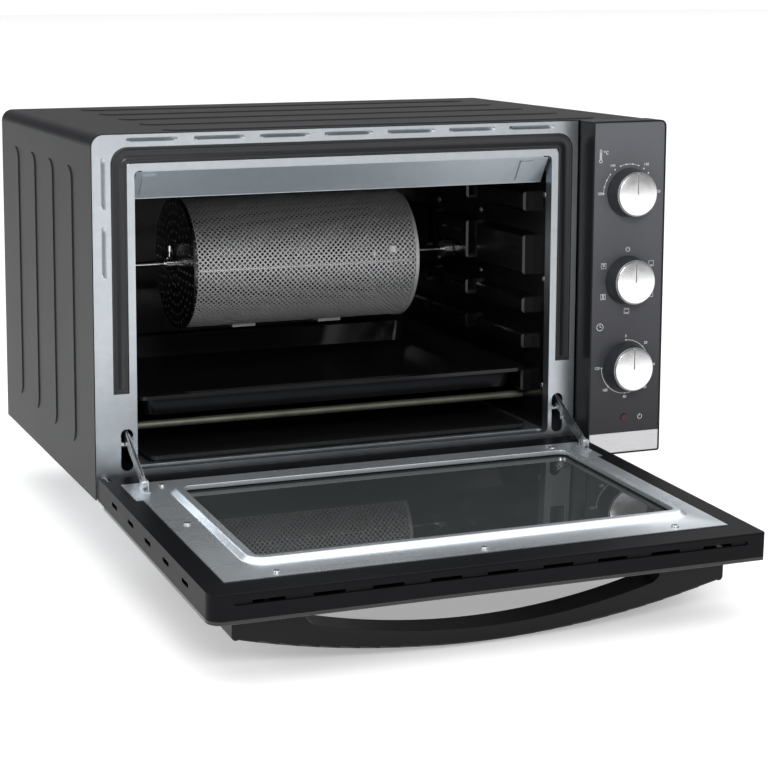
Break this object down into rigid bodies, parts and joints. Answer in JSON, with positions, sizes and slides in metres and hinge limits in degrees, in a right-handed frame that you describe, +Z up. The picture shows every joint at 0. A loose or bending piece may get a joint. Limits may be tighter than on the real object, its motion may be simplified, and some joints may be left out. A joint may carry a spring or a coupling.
{
  "type": "rotisserie oven",
  "caption": "Countertop rotisserie oven with a drop-down glass door, side control panel, knobs, trays and a turning mesh drum.",
  "frame": {"origin": "on the table plane under the feet, at the middle of the cabinet's footprint", "axes": "+X to the right seen from the front, +Y to the back, +Z up; the door opens towards -Y"},
  "size_m": [0.5924, 0.7345, 0.4122],
  "materials": {
    "shell_paint": "satin charcoal stove enamel",
    "zinc_sheet": "galvanised sheet",
    "cavity_enamel": "glossy dark enamel",
    "deflector_steel": "dull steel sheet",
    "heater_steel": "oxidised steel tube",
    "ceramic": "unglazed",
    "panel_plastic": "fine satin",
    "panel_face": "dark gradient",
    "silver_trim": "brushed",
    "knob": "spun cap on a dark skirt",
    "red_lens": "clear dark red",
    "inner_plastic": "moulded",
    "screw_steel": "zinc plated",
    "foot_plastic": "moulded",
    "foot_rubber": "matt",
    "seal_rubber": "matt silicone",
    "spit_chrome": "plated",
    "drum_steel": "bright perforated sheet",
    "tray_enamel": "glossy enamel",
    "door_paint": "satin black",
    "window_glass": "clear",
    "dark_glass": "dark printed",
    "handle_plastic": "satin"
  },
  "bodies": {
    "cabinet": {"outer_shell": "shell_paint", "front_frame": "zinc_sheet", "door_seal": "seal_rubber", "base_plate": "zinc_sheet", "rear_cover": "zinc_sheet", "rear_screws": "screw_steel", "cable_gland": "panel_plastic", "feet": "foot_plastic", "foot_pads": "foot_rubber", "foot_screws": "screw_steel", "cavity_left_wall": "cavity_enamel", "cavity_right_wall": "cavity_enamel", "cavity_back": "cavity_enamel", "cavity_roof": "cavity_enamel", "cavity_floor": "zinc_sheet", "cavity_rivets": "screw_steel", "heat_deflector": "deflector_steel", "lower_heaters": "heater_steel", "upper_heaters": "heater_steel", "heater_insulators": "ceramic", "heat_shield": "zinc_sheet", "terminal_block": "inner_plastic", "control_housing": "panel_plastic", "control_fascia": "panel_face", "panel_trim": "silver_trim", "lamp_lens": "red_lens", "lamp_holder": "inner_plastic", "control_bracket": "zinc_sheet", "thermostat": "inner_plastic", "mode_switch": "inner_plastic", "timer": "inner_plastic", "rotisserie_motor": "zinc_sheet", "spit_support": "zinc_sheet", "pivot_lugs": "zinc_sheet", "guide_brackets": "zinc_sheet", "guide_rollers": "screw_steel"},
    "door": {"door_frame": "door_paint", "door_inner_plate": "zinc_sheet", "door_inner_glass": "window_glass", "door_outer_glass": "dark_glass", "door_trim": "silver_trim", "door_handle": "handle_plastic", "door_hardware": "screw_steel", "hinge_brackets": "zinc_sheet", "hinge_pins": "screw_steel"},
    "left_arm": {"left_hinge_arm": "screw_steel"},
    "right_arm": {"right_hinge_arm": "screw_steel"},
    "rotisserie": {"drive_socket": "screw_steel", "spit_rod": "spit_chrome", "spit_collars": "spit_chrome", "thumb_screws": "spit_chrome", "drum_basket": "drum_steel", "drum_left_end": "drum_steel", "drum_right_end": "drum_steel", "drum_latches": "drum_steel"},
    "baking_tray_body": {"baking_tray": "tray_enamel"},
    "crumb_tray_body": {"crumb_tray": "silver_trim"},
    "temperature_control": {"temperature_knob": "knob"},
    "mode_control": {"mode_knob": "knob"},
    "timer_control": {"timer_knob": "knob"}
  },
  "joints": [
    {"name": "door_hinge", "type": "hinge", "parent": "cabinet", "child": "door", "pos_m": [0, -0.20575, 0.08025], "axis": [-1, 0, 0], "range_deg": [0, 91.87]},
    {"name": "left_arm_hinge", "type": "hinge", "parent": "door", "child": "left_arm", "pos_m": [-0.2638, -0.25144, 0.09312], "axis": [1, 0, 0], "range_deg": [0, 43.2]},
    {"name": "right_arm_hinge", "type": "hinge", "parent": "door", "child": "right_arm", "pos_m": [0.1918, -0.25144, 0.09312], "axis": [1, 0, 0], "range_deg": [0, 43.2]},
    {"name": "spit_turn", "type": "hinge", "parent": "cabinet", "child": "rotisserie", "pos_m": [0, 0.021, 0.255], "axis": [1, 0, 0], "continuous": true},
    {"name": "baking_tray_slide", "type": "slide", "parent": "cabinet", "child": "baking_tray_body", "axis": [0, 1, 0], "range_m": [-0.25, 0]},
    {"name": "crumb_tray_slide", "type": "slide", "parent": "cabinet", "child": "crumb_tray_body", "axis": [0, 1, 0], "range_m": [-0.25, 0]},
    {"name": "temperature_turn", "type": "hinge", "parent": "cabinet", "child": "temperature_control", "pos_m": [0.2534, -0.2242, 0.3385], "axis": [0, 1, 0], "range_deg": [-90, 90]},
    {"name": "mode_turn", "type": "hinge", "parent": "cabinet", "child": "mode_control", "pos_m": [0.2534, -0.2242, 0.2497], "axis": [0, 1, 0], "range_deg": [0, 300]},
    {"name": "timer_turn", "type": "hinge", "parent": "cabinet", "child": "timer_control", "pos_m": [0.2534, -0.2242, 0.1609], "axis": [0, 1, 0], "range_deg": [0, 270]}
  ],
  "couplings": [
    {"joint": "left_arm_hinge", "follows": "door_hinge", "ratio": 0.47022},
    {"joint": "right_arm_hinge", "follows": "door_hinge", "ratio": 0.47022}
  ]
}
